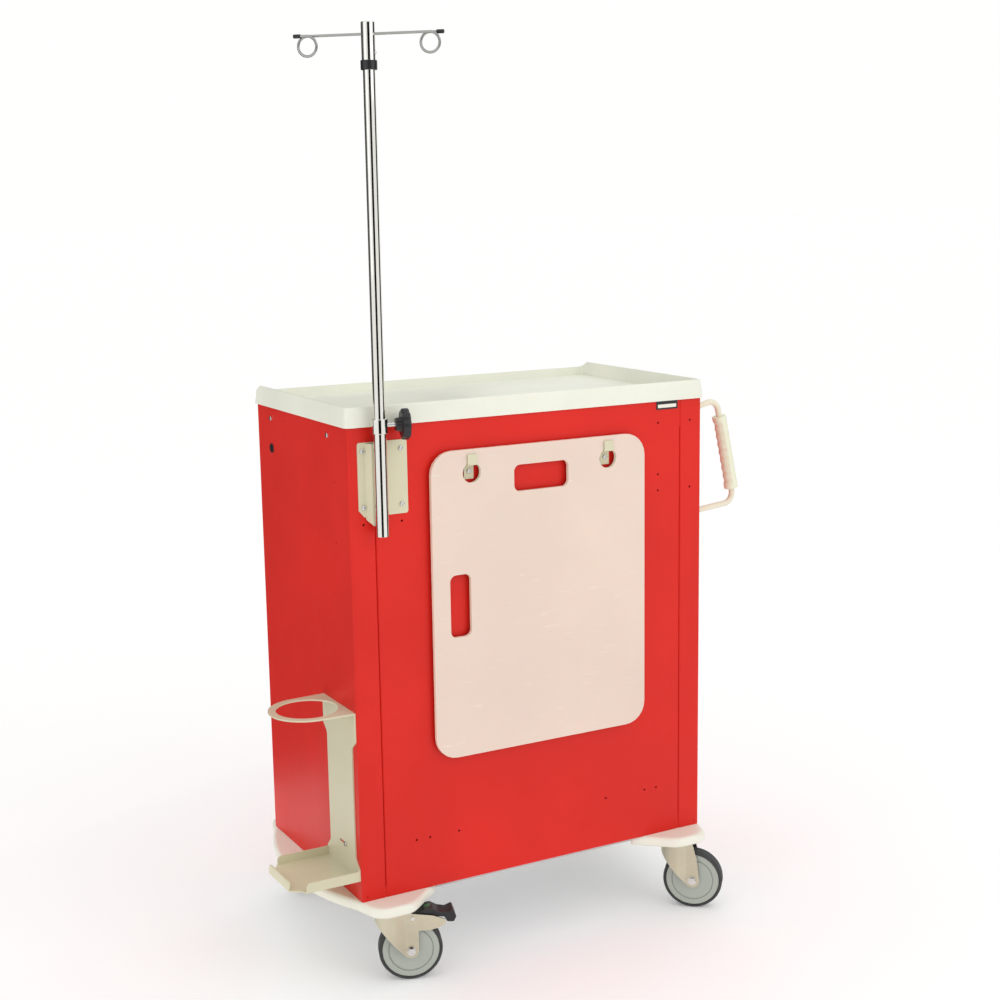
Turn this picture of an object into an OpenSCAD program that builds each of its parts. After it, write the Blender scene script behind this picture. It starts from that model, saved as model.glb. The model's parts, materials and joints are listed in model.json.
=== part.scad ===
// Crash cart: a red steel drawer cabinet on four swivel casters, with an intravenous pole,
// an oxygen cylinder bracket, a hanging cardiac board and a push handle.
// +Z is up, the ground is z = 0, drawers open towards -Y and the board hangs on the +Y side.
// The origin lies on the ground, under the middle of the whole cart.

/* [Cabinet] */
// Width across the side panels
cab_w = 800; // [780:2:820]
// Depth from the drawer stiles to the rear panel
cab_d = 468; // [460:2:480]
// Height from the cabinet's floor to the tray's skirt
cab_h = 935; // [915:5:960]
// Thickness of the folded steel sheet
sheet = 1.5; // [1:0.1:1.8]
// Inner radius of the sheet's bends
bend_r = 2; // [1.5:0.5:3]

/* [Drawers] */
// Drawer heights from the bottom up, in height units
drawer_units = [3, 2, 1, 1, 1];
// Gap round each drawer front
drawer_gap = 4; // [3:0.5:6]
// How far each drawer pulls out
drawer_travel = 300; // [200:10:320]
// How far the pull lip stands out of a drawer's face
pull_reach = 22; // [18:1:26]

/* [Top tray] */
// Height of the tray's rim above its skirt's lower edge
tray_h = 38; // [34:1:44]
// How far the skirt stands out of the cabinet
tray_over = 6; // [4:1:10]
// How much lower the front rim is than the others
tray_front_drop = 12.5; // [8:0.5:14]

/* [Base] */
// How far the bumpers reach in front of and behind the cabinet
bumper_reach = 54; // [50:1:60]
// How far a bumper's side bulges out of the cabinet
bumper_bulge = 60; // [50:1:70]
// Distance of the casters' swivel axes from the middle, across the cart
caster_x = 341; // [335:1:345]
// Distance of the casters' swivel axes from the middle, along the cart's depth
caster_y = 238; // [232:1:240]

/* [Casters] */
// Diameter of a wheel over its tyre
wheel_d = 127; // [125:1:128]
// Width of a tyre
tyre_w = 32; // [28:1:32]
// Distance from the swivel axis to the axle
trail = 36; // [34:1:38]
// Radius of the axle
axle_r = 6; // [5:0.5:6]

/* [Intravenous pole] */
// Radius of the pole
pole_r = 11.1; // [10:0.1:11.1]
// Sideways place of the pole
pole_x = 347; // [346:1:348]
// Distance from the rear panel to the pole's axis
pole_off = 28.8; // [28:0.2:32]
// Radius of the socket tube and of the hook head's tube
socket_r = 12.6; // [12.4:0.1:13]
// Length of the hook rod from tip to tip
hook_span = 277; // [260:1:300]
// Direction of the hook rod's rearward arm, seen from above
hook_turn = 137.6; // [120:0.2:160]

/* [Cardiac board] */
// Width of the board
board_w = 486; // [470:2:490]
// Height of the board
board_h = 612; // [600:2:620]
// Thickness of the board
board_t = 10; // [8:0.5:11]
// Sideways place of the board's middle
board_x = -6; // [-10:1:6]

/* [Oxygen bracket] */
// Radius of the hole that a cylinder stands in
oxygen_r = 60.5; // [58:0.5:62]
// Thickness of the bracket's plate
oxygen_t = 3; // [2.5:0.5:3]
// Place of the bracket along the cabinet's side
oxygen_y = 152; // [150:1:156]

/* [Push handle] */
// Radius of the handle's rod
handle_r = 6.35; // [6:0.05:7]
// Place of the handle along the cabinet's side
handle_y = 199; // [190:1:204]

/* [Hidden] */
$fn = 64;
// Middle of the whole cart, with its handle and brackets, from the middle of the cabinet
cart_middle = [11.21, 33.27];
eps = 0.01;

red = [0.85, 0.13, 0.10];
cream = [0.93, 0.92, 0.84];
beige = [0.80, 0.79, 0.66];
zinc = [0.74, 0.72, 0.60];
steel = [0.78, 0.79, 0.80];
black = [0.06, 0.06, 0.06];
white_board = [0.93, 0.88, 0.84];
wheel_grey = [0.66, 0.69, 0.66];
tyre_grey = [0.22, 0.22, 0.22];

// Heights above the ground
plate_top = 158.5;                      // a caster's top plate bolts on here
chassis_t = 5;                          // thickness of the chassis plate
ledge_t = 6.5;                          // thickness of a bumper's top wall
cab_z = plate_top + chassis_t + ledge_t;
cab_top = cab_z + cab_h;
tray_sink = 3;                          // how far the cabinet stands up inside the skirt
shell_top = cab_top + tray_sink;
header_h = 60;
header_z = shell_top - header_h;
lip_h = 22;                             // height of the base pan's upturned edge

side_x = cab_w / 2;
rear_y = cab_d / 2;
flange_w = 52;                          // the side panels wrap this far onto the rear
stile_w = 24;                           // and this far onto the front
return_d = 16;                          // depth of a flange's inward return
seam_gap = 0.5;

// Accessory holes in the rear, as places across and heights above the cabinet's floor
hole_r = 2.2;
outer_col = 372.5;
inner_col = 293;
hole_rows = [749.5, 783, 890];
low_row = 104.4;
low_holes = [279.5, 249.5, 185, -163, -260, -289.5];
seam_rows = [10, 20.5];
corner_hole_x = 388.5;

// Marks on the sides, as places along the depth and heights above the cabinet's floor
tray_screw_y = [-157, 138];
tray_screw_z = 911;
plug_spot = [-157.5, 849];
plug_r = 10;
side_dimples = [[165, 824], [165, 706.5], [-89, 882], [-91, 912]];
dimple_r = 1.6;

screw_r = hole_r;
head_r = 5;
head_h = 3;

// Outlines

// Arc round corner p1, tangent to the lines from it to p0 and to p2
function fillet(p0, p1, p2, r, n = 6) =
    r <= 0 ? [p1] :
    let (a = (p0 - p1) / norm(p0 - p1),
         b = (p2 - p1) / norm(p2 - p1),
         half = acos(max(-1, min(1, a * b))) / 2)
    half > 89 ? [p1] :
    let (run = r / tan(half),
         mid = p1 + (a + b) / norm(a + b) * r / sin(half),
         s = p1 + a * run - mid,
         e = p1 + b * run - mid,
         from = atan2(s.y, s.x),
         sweep = (atan2(e.y, e.x) - from + 540) % 360 - 180)
    [for (i = [0 : n]) mid + r * [cos(from + sweep * i / n), sin(from + sweep * i / n)]];

function flat(p) = [p.x, p.y];

// Closed outline through [x, y, corner radius] points
function rounded(pts) =
    let (n = len(pts))
    [for (i = [0 : n - 1])
        each fillet(flat(pts[(i + n - 1) % n]), flat(pts[i]), flat(pts[(i + 1) % n]), pts[i][2])];

function left_of(p, q) = [p.y - q.y, q.x - p.x] / norm(q - p);

// A bend's corner on the line that runs at distance d to the left of the path
function side_corner(path, i, d) =
    i == 0 ? path[0] + d * left_of(path[0], path[1]) :
    i == len(path) - 1 ? path[i] + d * left_of(path[i - 1], path[i]) :
    let (m = left_of(path[i - 1], path[i]) + left_of(path[i], path[i + 1]))
    path[i] + m * 2 * d / (m * m);

function turn(path, i) =
    let (a = path[i] - path[i - 1], b = path[i + 1] - path[i])
    sign(a.x * b.y - a.y * b.x);

function side_line(path, d, r) =
    let (n = len(path))
    [for (i = [0 : n - 1])
        let (p = side_corner(path, i, d))
        each (i == 0 || i == n - 1) ? [p] :
            fillet(side_corner(path, i - 1, d), p, side_corner(path, i + 1, d),
                   r + abs(d) - turn(path, i) * d)];

function backwards(a) = [for (i = [len(a) - 1 : -1 : 0]) a[i]];

// Section of a folded sheet of thickness t, whose middle follows the path
function folded(path, t = sheet, r = bend_r) =
    concat(side_line(path, t / 2, r), backwards(side_line(path, -t / 2, r)));

function sum_to(list, i) = i <= 0 ? 0 : list[i - 1] + sum_to(list, i - 1);

// Shared shapes

// Extrudes an XY outline along X so that its x runs along Y and its y along Z
module across_x(from, length) {
    translate([from, 0, 0]) rotate([90, 0, 90]) linear_extrude(length) children();
}

// Rectangle with round corners, centred
module round_box(size, r) {
    polygon(rounded([for (c = [[1, 1], [-1, 1], [-1, -1], [1, -1]])
        [c.x * size.x / 2, c.y * size.y / 2, r]]));
}

module slot_cut(length, width, depth) {
    cube([length - width, width, depth], center = true);
    for (s = [-1, 1]) translate([s * (length - width) / 2, 0, 0])
        cylinder(r = width / 2, h = depth, center = true);
}

// Cutter through the rear panel at place x and height z above the cabinet's floor
module rear_drill(x, z, r = hole_r) {
    translate([x, rear_y - 5, cab_z + z]) rotate([-90, 0, 0]) cylinder(r = r, h = 8);
}

module side_drill(y, z, r = hole_r) {
    translate([side_x - 5, y, cab_z + z]) rotate([0, 90, 0]) cylinder(r = r, h = 8);
}

// Places its children at the start of a bent rod's step number to. Each step is a straight
// length along X and the angle of the bend after it, which turns towards Y.
module along_rod(steps, bend, to, from = 0) {
    if (from == to) children();
    else translate([steps[from][0], bend, 0]) rotate([0, 0, steps[from][1]]) translate([0, -bend, 0])
        along_rod(steps, bend, to, from + 1) children();
}

// The straight lengths are thinner by a hair and reach a little way into the bends
module bent_rod(steps, bend, r) {
    last = len(steps) - 1;
    reach = 0.8;
    hair = 0.03;
    for (i = [0 : last]) along_rod(steps, bend, i) {
        before = i > 0 ? reach : 0;
        after = i < last ? reach : 0;
        translate([-before, 0, 0]) rotate([0, 90, 0])
            cylinder(r = r - hair, h = before + steps[i][0] + after);
        if (i < last) translate([steps[i][0], bend, 0]) rotate([0, 0, -90])
            rotate_extrude(angle = steps[i][1]) translate([bend, 0]) circle(r = r);
    }
}

// Solid through rings of equally many points, from the lowest ring up
module loft(rings) {
    n = len(rings[0]);
    top = len(rings) - 1;
    polyhedron(
        points = [for (ring = rings) each ring],
        faces = concat(
            [[for (i = [0 : n - 1]) i], [for (i = [n - 1 : -1 : 0]) top * n + i]],
            [for (k = [0 : top - 1], i = [0 : n - 1])
                let (j = (i + 1) % n, low = k * n, high = low + n)
                each [[low + i, high + i, high + j], [low + i, high + j, low + j]]]));
}

function at_height(outline, z) = [for (p = outline) [p.x, p.y, z]];

// Cabinet

module side_panel(side) {
    edge = sheet / 2;
    seam_x = side_x - flange_w + seam_gap / 2 + edge;
    stile_x = side_x - stile_w;
    path = [
        [seam_x, rear_y - return_d], [seam_x, rear_y - edge], [side_x - edge, rear_y - edge],
        [side_x - edge, edge - rear_y], [stile_x, edge - rear_y], [stile_x, return_d - rear_y]
    ];
    inner = [side_x - sheet, cab_d - 2 * sheet];
    color(red) mirror([side < 0 ? 1 : 0, 0, 0]) difference() {
        translate([0, 0, cab_z]) linear_extrude(shell_top - cab_z) polygon(folded(path));
        // The inward returns stop short of the base pan and of the top frame
        translate([0, -inner.y / 2, cab_z - 1]) cube([inner.x, inner.y, lip_h + 1]);
        translate([0, -inner.y / 2, header_z]) cube([inner.x, inner.y, header_h + 1]);
        for (i = side > 0 ? [0 : 2] : [0, 2]) rear_drill(outer_col, hole_rows[i]);
        for (z = seam_rows) rear_drill(side_x - flange_w, z, 2);
        rear_drill(corner_hole_x, seam_rows[0]);
        for (y = tray_screw_y) side_drill(y, tray_screw_z, screw_r);
        for (d = side_dimples) side_drill(d.x, d.y, dimple_r);
        if (side > 0) {
            side_drill(plug_spot.x, plug_spot.y, plug_r - 2);
            for (z = oxygen_screw_z) side_drill(oxygen_screw_y, z, screw_r);
        }
    }
}

module back_panel() {
    edge = sheet / 2;
    seam_x = side_x - flange_w - seam_gap / 2 - edge;
    path = [
        [-seam_x, rear_y - return_d], [-seam_x, rear_y - edge],
        [seam_x, rear_y - edge], [seam_x, rear_y - return_d]
    ];
    inner = [cab_w, cab_d - 2 * sheet];
    color(red) difference() {
        translate([0, 0, cab_z]) linear_extrude(shell_top - cab_z) polygon(folded(path));
        translate([-inner.x / 2, -inner.y / 2, cab_z - 1]) cube([inner.x, inner.y, lip_h + 1]);
        translate([-inner.x / 2, -inner.y / 2, header_z]) cube([inner.x, inner.y, header_h + 1]);
        for (s = [-1, 1], z = hole_rows) rear_drill(s * inner_col, z);
        for (s = [-1, 1], z = seam_rows) rear_drill(s * (side_x - flange_w), z, 2);
        for (x = low_holes) rear_drill(x, low_row);
        for (s = [-1, 1]) rear_drill(board_x + s * hook_dx, hook_screw_z, screw_r);
    }
}

// Open box of sheet that fits inside the panels, with its floor at the bottom
module inner_pan(height) {
    size = [cab_w - 2 * sheet, cab_d - 2 * sheet];
    difference() {
        translate([-size.x / 2, -size.y / 2, 0]) cube([size.x, size.y, height]);
        translate([sheet - size.x / 2, sheet - size.y / 2, sheet])
            cube([size.x - 2 * sheet, size.y - 2 * sheet, height]);
    }
}

module base_pan() {
    color(red) translate([0, 0, cab_z]) inner_pan(lip_h);
}

module top_frame() {
    color(red) difference() {
        translate([0, 0, shell_top]) mirror([0, 0, 1]) inner_pan(header_h);
        for (m = [0, 1], y = tray_screw_y)
            mirror([m, 0, 0]) side_drill(y, tray_screw_z, screw_r);
        for (s = [-1, 1], x = [inner_col, outer_col]) rear_drill(s * x, hole_rows[2]);
        translate([lock_x, -rear_y, lock_z]) rotate([90, 0, 0])
            cylinder(r = lock_shaft_r + 0.05, h = 12, center = true);
    }
}

tray_floor_t = 5.5;
tray_wall = 4;
tray_corner = 12;
tray_draft = 4;

function tray_outline(half_x, half_y, z) =
    at_height(rounded([for (c = [[1, 1], [-1, 1], [-1, -1], [1, -1]])
        [c.x * half_x, c.y * half_y, tray_corner]]), z);

// Block with round upright corners that narrows by tray_draft a side on its way from one
// height to the next, and is rounded off by r at the narrow end
module drafted_block(half_x, half_y, from, to, r = 0) {
    rings = concat(
        [tray_outline(half_x, half_y, from)],
        [for (a = r > 0 ? [0 : 22.5 : 90] : [0])
            let (inset = tray_draft + r * (1 - cos(a)))
            tray_outline(half_x - inset, half_y - inset, to - r * (1 - sin(a)))]);
    loft(rings);
}

module top_tray() {
    half = [side_x + tray_over, rear_y + tray_over];
    rim = cab_top + tray_h;
    floor_z = shell_top + tray_floor_t;
    slope_run = 20;
    color(cream) difference() {
        drafted_block(half.x, half.y, cab_top, rim, 2);
        // Recess, which widens upwards
        mirror([0, 0, 1]) drafted_block(half.x - tray_draft - tray_wall, half.y - tray_draft - tray_wall,
            -rim - eps, -floor_z);
        // The cabinet's top stands in the skirt
        translate([-side_x - 0.5, -rear_y - 0.5, cab_top - 1])
            cube([cab_w + 1, cab_d + 1, shell_top - cab_top + 1]);
        // The front rim is lower, and the side walls slope down to it
        across_x(-half.x - 1, 2 * half.x + 2)
            polygon([[-half.y - 1, rim + 1], [-half.y - 1, rim - tray_front_drop],
                     [tray_draft + tray_wall - half.y, rim - tray_front_drop],
                     [tray_draft + tray_wall + slope_run - half.y, rim],
                     [tray_draft + tray_wall + slope_run - half.y, rim + 1]]);
    }
}

// Base

bumper_end_y = rear_y + bumper_reach;
bumper_in_x = 235;
bumper_z = 149;
bumper_round = 8;
bumper_under = 5;
arc_y = rear_y + 1;
arc_r = (arc_y * arc_y + bumper_bulge * bumper_bulge) / (2 * bumper_bulge);

// Boat-shaped outline under one end of the cabinet, drawn inset by d
function bumper_outline(d = 0) =
    let (mid = side_x + bumper_bulge - arc_r,
         r = arc_r - d,
         reach = asin((arc_y - 12) / arc_r),
         side = [for (i = [-8 : 8]) [mid + r * cos(reach * i / 8), r * sin(reach * i / 8), 0]],
         end_y = bumper_end_y - d,
         corner_x = side[16].x - 17)
    rounded(concat(
        [[bumper_in_x + d, 12 - rear_y + d / 2, 10], [bumper_in_x + 78 + d / 2, -end_y, 40],
         [corner_x, -end_y, 36]],
        side,
        [[corner_x, end_y, 36], [bumper_in_x + 78 + d / 2, end_y, 40],
         [bumper_in_x + d, rear_y - 12 - d / 2, 10]]));

module bumper(side) {
    wall = 11;
    height = cab_z - bumper_z - 0.2;
    color(cream) mirror([side < 0 ? 1 : 0, 0, 0]) difference() {
        loft(concat(
            [for (a = [0 : 30 : 90]) at_height(bumper_outline(bumper_under * (1 - sin(a))),
                bumper_z + bumper_under * (1 - cos(a)))],
            [for (a = [90 : -30 : 0]) at_height(bumper_outline(bumper_round * (1 - sin(a))),
                bumper_z + height - bumper_round * (1 - cos(a)))]));
        // Hollow underneath, open towards the middle of the cart
        translate([0, 0, bumper_z - 1]) linear_extrude(cab_z - ledge_t - bumper_z + 1)
            polygon(bumper_outline(wall));
        translate([bumper_in_x - 1, 16 - rear_y, bumper_z - 1])
            cube([40, cab_d - 32, cab_z - ledge_t - bumper_z + 1]);
        at_casters() translate([0, 0, bumper_z - 1]) linear_extrude(cab_z - ledge_t - bumper_z + 1)
            plate_outline(0.4);
    }
}

// Steel plate under the cabinet, with an ear at each caster
module chassis() {
    half = [388, rear_y - 16];
    low = cab_z - ledge_t - chassis_t;
    color(steel) difference() {
        union() {
            translate([-half.x, -half.y, low]) cube([2 * half.x, 2 * half.y, chassis_t]);
            at_casters() translate([0, 0, low]) linear_extrude(chassis_t) plate_outline();
            // Pads that carry the cabinet between the bumpers
            for (sy = [-1, 1])
                translate([1 - bumper_in_x, sy * 150 - 20, low])
                    cube([2 * bumper_in_x - 2, 40, chassis_t + ledge_t]);
        }
        at_casters() for (p = bolt_spots) translate([p.x, p.y, low - 1])
            cylinder(r = bolt_r, h = chassis_t + 2);
    }
}

// Casters

axle_z = wheel_d / 2;
bolt_r = 4;
bolt_spots = [[38, 22.3], [-38, 22.3], [-38, -22.3], [38, -22.3]];
plate_half = [46, 30];
caster_spots = [
    [caster_x, caster_y], [-caster_x, caster_y], [-caster_x, -caster_y], [caster_x, -caster_y]
];
// Directions in which the wheels trail, seen from above
caster_turns = [160, 138.6, 172, 200];
plate_t = 3;
race_r = 28;
pin_r = 6;
crown_r = 33;
crown_z = 136;
crown_top = 146.7;
leg_in = tyre_w / 2 + 3.5;
leg_t = 3;
pivot = [40, 131.5];                    // brake pedal's pivot, along the trail and up
pivot_r = 2.5;

module at_casters() {
    for (c = caster_spots) translate([c.x, c.y, 0]) children();
}

module at_caster(n) {
    translate([caster_spots[n - 1].x, caster_spots[n - 1].y, 0])
        rotate([0, 0, caster_turns[n - 1]]) children();
}

// Extrudes an outline drawn along the trail and up, centred sideways
module fork_side(width) {
    rotate([90, 0, 0]) linear_extrude(width, center = true) children();
}

// Outline of a caster's top plate, drawn larger all round by d
module plate_outline(d = 0) {
    round_box(2 * [plate_half.x + d, plate_half.y + d], 8);
}

module caster_plates() {
    color(zinc) at_casters() difference() {
        union() {
            translate([0, 0, plate_top - plate_t]) linear_extrude(plate_t) plate_outline();
            translate([0, 0, crown_top + 0.3])
                cylinder(r = race_r, h = plate_top - crown_top - 0.3 - plate_t / 2);
            translate([0, 0, crown_z - 1]) cylinder(r = pin_r, h = plate_top - crown_z);
            translate([0, 0, crown_z - 4.3]) cylinder(r = 10, h = 4);
        }
        for (p = bolt_spots) translate([p.x, p.y, 100]) cylinder(r = bolt_r, h = 60);
    }
}

module caster_bolts() {
    color(steel) at_casters() for (p = bolt_spots) translate([p.x, p.y, 0]) {
        translate([0, 0, plate_top - plate_t - 1]) cylinder(r = bolt_r, h = plate_t + chassis_t + 1);
        translate([0, 0, plate_top - 2 * plate_t]) cylinder(r = 7, h = plate_t, $fn = 6);
    }
}

// A fork's outline from the side; a braked one has side plates that carry the pedal as well
module fork_outline(braked) {
    tip_r = 15;
    difference() {
        union() {
            translate([trail, axle_z]) circle(r = tip_r);
            polygon([[-crown_r - 1, crown_top], [-crown_r - 1, 124], [trail - 12.2, axle_z - 8.8],
                     [trail + tip_r, axle_z], [trail + (braked ? tip_r : 10), 112], [36, crown_top]]);
            if (braked)
                polygon(rounded([[20, 110, 0], [50, 105, 8], [74, 104.5, 30], [94, 109, 20],
                                 [107, 117.5, 4],
                                 [105, 124.5, 4], [80, 134.5, 40], [52, 139, 20], [20, 143, 0]]));
        }
        translate([trail, axle_z]) circle(r = axle_r + 0.1);
        if (braked) translate(pivot) circle(r = pivot_r + 0.1);
    }
}

// A fork's outline from above: flat legs that widen round the swivel
module fork_plan(d = 0) {
    y = leg_in + leg_t - d;
    r = crown_r - d;
    polygon(rounded([[140, -y, 0], [140, y, 0], [24, y, 10], [4, r, 10], [-r, r, r - 1], [-r, -r, r - 1],
                     [4, -r, 10], [24, -y, 10]]));
}

module fork(n, braked) {
    color(zinc) at_caster(n) difference() {
        intersection() {
            translate([0, 0, 40]) linear_extrude(crown_top - 40) difference() {
                fork_plan();
                fork_plan(leg_t);
            }
            fork_side(4 * crown_r) fork_outline(braked);
        }
        // Room for the pan of the crown
        translate([0, 0, crown_z]) cylinder(r = crown_r - leg_t + 0.5, h = 20);
    }
    color(zinc) at_caster(n) difference() {
        translate([0, 0, crown_z]) cylinder(r = crown_r - leg_t + 0.5, h = crown_top - crown_z);
        translate([0, 0, crown_z - 1]) cylinder(r = pin_r + 0.05, h = 12);
    }
}

module axle(n, braked) {
    across = 2 * (leg_in + leg_t);
    color(steel) at_caster(n) {
        translate([trail, 0, axle_z]) rotate([90, 0, 0]) {
            cylinder(r = axle_r, h = across + 6, center = true);
            for (s = [-1, 1]) translate([0, 0, s * (across / 2 + 0.8)])
                cylinder(r = 9, h = 1.6, center = true);
            for (s = [-1, 1]) translate([0, 0, s * (across / 2 + 4.1)])
                cylinder(r = 8, h = 5, center = true, $fn = 6);
        }
        if (braked) translate([pivot.x, 0, pivot.y]) rotate([90, 0, 0]) {
            cylinder(r = pivot_r, h = across + 1, center = true);
            for (s = [-1, 1]) translate([0, 0, s * (across / 2 + 0.8)])
                cylinder(r = 4, h = 1.6, center = true);
        }
    }
}

rim_r = wheel_d / 2 - 6.5;
ring_r = 44;

module wheel(n) {
    face = tyre_w / 2 - 1;
    hub = leg_in - 0.6;
    groove = [2.2, 2.2];
    color(wheel_grey) at_caster(n) translate([trail, 0, axle_z]) rotate([90, 0, 0]) rotate_extrude()
        polygon([
            [axle_r + 0.05, -hub], [14, -hub], [15.5, -face], [ring_r - groove.x / 2, -face],
            [ring_r - groove.x / 2, groove.y - face], [ring_r + groove.x / 2, groove.y - face],
            [ring_r + groove.x / 2, -face], [rim_r - 1.5, -face], [rim_r, 1.5 - face],
            [rim_r, face - 1.5], [rim_r - 1.5, face], [ring_r + groove.x / 2, face],
            [ring_r + groove.x / 2, face - groove.y], [ring_r - groove.x / 2, face - groove.y],
            [ring_r - groove.x / 2, face], [15.5, face], [14, hub], [axle_r + 0.05, hub]]);
}

module tyre(n) {
    half = tyre_w / 2;
    color(tyre_grey) at_caster(n) translate([trail, 0, axle_z]) rotate([90, 0, 0]) rotate_extrude()
        polygon(rounded([
            [rim_r, 1.5 - half, 0], [rim_r + 2, -half, 1], [wheel_d / 2, 3 - half, 4],
            [wheel_d / 2, half - 3, 4], [rim_r + 2, half, 1], [rim_r, half - 1.5, 0]]));
}

module pedal(n) {
    color(black) at_caster(n) difference() {
        fork_side(2 * leg_in - 3) polygon(rounded([
            [35, 128.8, 2], [35, 135, 3], [50, 141, 8], [64, 146, 6], [78, 147.6, 7], [91, 140, 12],
            [107, 136.5, 3], [121, 142.5, 3], [127, 127, 4], [122, 117, 3], [109, 118, 4], [103, 129, 6],
            [80, 130.5, 10], [60, 129.5, 6]]));
        translate([pivot.x, 0, pivot.y]) rotate([90, 0, 0])
            cylinder(r = pivot_r + 0.05, h = 60, center = true);
    }
}

// Drawers

opening_z = cab_z + lip_h;
unit_h = (header_z - opening_z - drawer_gap) / sum_to(drawer_units, len(drawer_units));
count = len(drawer_units);

// Drawers are numbered from the top down
function units_below(n) = sum_to(drawer_units, count - n);
function front_z(n) = opening_z + drawer_gap + units_below(n) * unit_h;
function front_h(n) = drawer_units[count - n] * unit_h - drawer_gap;

face_y = -rear_y - sheet;               // the fronts stand one sheet proud of the stiles
front_w = cab_w - 2 * stile_w - sheet - 2 * drawer_gap;
box_w = 724;
box_front = 16 - rear_y;
box_back = 196;
box_lift = 8;                           // a box's floor above its front's lower edge
box_drop = 34;                          // a box's rim below its front's upper edge
runner = [10, 396, 16];
rail_gap = 0.4;
runner_rise = 12;                       // a runner above its box's floor

module drawer_box(n) {
    low = front_z(n) + box_lift;
    height = front_h(n) - box_lift - box_drop;
    color(steel) {
        difference() {
            translate([-box_w / 2, box_front, low]) cube([box_w, box_back - box_front, height]);
            translate([sheet - box_w / 2, box_front + sheet, low + sheet])
                cube([box_w - 2 * sheet, box_back - box_front - 2 * sheet, height]);
        }
        for (s = [0, 1]) mirror([s, 0, 0])
            translate([box_w / 2, box_back - runner.y, low + runner_rise]) cube(runner);
    }
}

// Folded front: a face, a lip that leans out as the pull, and a flange all round the back
module drawer_front(n) {
    low = front_z(n);
    top = low + front_h(n);
    edge = sheet / 2;
    skin = face_y + edge;
    lip_y = face_y + edge - pull_reach;
    color(red) {
        across_x(-front_w / 2, front_w) polygon(folded([
            [box_front - edge, low + 22], [box_front - edge, low + edge], [skin, low + edge],
            [skin, top - 36], [lip_y, top - 22], [lip_y, top - 2]]));
        // The face goes on up behind the pull and folds back onto the box
        across_x(-front_w / 2, front_w) polygon(folded([
            [skin + sheet, top - 50], [skin + sheet, top - edge - 1], [box_front - edge, top - edge - 1],
            [box_front - edge, top - box_drop - 30]]));
    }
}

// Folded channels that the drawers' runners slide in, each on two brackets from the side wall
module slide_rails() {
    inner = [box_w / 2 + 1.5, runner.z / 2 + rail_gap + sheet / 2];
    web = box_w / 2 + runner.x + rail_gap + sheet / 2;
    wall = side_x - sheet * 1.5;
    color(steel) for (s = [0, 1], n = [1 : count]) mirror([s, 0, 0])
        translate([0, 0, front_z(n) + box_lift + runner_rise + runner.z / 2]) {
            rotate([90, 0, 0]) linear_extrude(430, center = true)
                polygon(folded([[inner.x, -inner.y], [web, -inner.y], [web, inner.y],
                                [inner.x, inner.y]], r = 0.5));
            for (y = [-180, 150]) translate([0, y, 0]) rotate([90, 0, 0]) linear_extrude(30, center = true)
                polygon(folded([[web + sheet / 2, 0], [wall, 0], [wall, 16]], r = 1));
        }
}

lock_x = 300;
lock_z = header_z + 27;
lock_shaft_r = 6;

module lock_plate() {
    plate = [70, 3, 46];
    color(steel) difference() {
        union() {
            translate([lock_x - plate.x / 2, sheet - rear_y - plate.y, lock_z - plate.z / 2]) cube(plate);
            // Eye that a breakaway seal is threaded through
            translate([lock_x + 28, sheet - rear_y - plate.y - 5, lock_z]) rotate([0, 90, 0])
                cylinder(r = 6, h = 3, center = true);
            translate([lock_x + 26.5, sheet - rear_y - plate.y - 5, lock_z - 6]) cube([3, 5.5, 12]);
        }
        translate([lock_x, -rear_y, lock_z]) rotate([90, 0, 0])
            cylinder(r = lock_shaft_r + 0.05, h = 20, center = true);
        translate([lock_x + 28, sheet - rear_y - plate.y - 6, lock_z]) rotate([0, 90, 0])
            cylinder(r = 2, h = 10, center = true);
    }
}

module lock_handle() {
    front = sheet - rear_y - 3;
    color(black) translate([lock_x, front - 0.3, lock_z]) rotate([90, 0, 0]) {
        cylinder(r = 12, h = 5);
        translate([-20, -5, 0]) cube([40, 10, 16]);
        for (s = [-1, 1]) translate([s * 20, 0, 0]) cylinder(r = 5, h = 16);
        translate([0, 0, -16]) cylinder(r = lock_shaft_r, h = 17);
    }
}

// Rear and side fittings

// Pan head screw along +Z, its head's seat at z = 0
module pan_screw() {
    difference() {
        union() {
            rotate_extrude() polygon(rounded([[0, 0, 0], [head_r, 0, 0.4], [head_r, head_h, 2],
                                              [0, head_h, 0]]));
            translate([0, 0, -12]) cylinder(r = screw_r, h = 12 + head_h / 2);
        }
        for (a = [0, 90]) rotate([0, 0, a]) translate([-2.9, -0.6, head_h - 1.4]) cube([5.8, 1.2, 2]);
    }
}

module panel_screws() {
    color(steel) {
        for (x = [inner_col, outer_col], z = [hole_rows[1], hole_rows[2]])
            translate([x, rear_y + bracket_t, cab_z + z]) rotate([-90, 0, 0]) pan_screw();
        for (s = [-1, 1]) translate([board_x + s * hook_dx, rear_y + hook_t, cab_z + hook_screw_z])
            rotate([-90, 0, 0]) pan_screw();
        for (s = [0, 1], y = tray_screw_y) mirror([s, 0, 0])
            translate([side_x, y, cab_z + tray_screw_z]) rotate([0, 90, 0]) pan_screw();
        for (z = oxygen_screw_z)
            translate([side_x + oxygen_t, oxygen_screw_y, cab_z + z]) rotate([0, 90, 0]) pan_screw();
    }
}

module hole_plug() {
    color(black) translate([side_x, plug_spot.x, cab_z + plug_spot.y]) rotate([0, 90, 0]) {
        rotate_extrude() polygon(rounded([[0, 0, 0], [plug_r, 0, 0], [plug_r, 1.8, 1.2], [0, 1.8, 0]]));
        translate([0, 0, -5]) cylinder(r = plug_r - 2.1, h = 5.5);
    }
}

label_size = [52, 1.2, 18];
label_spot = [-340.5, 917];

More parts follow.
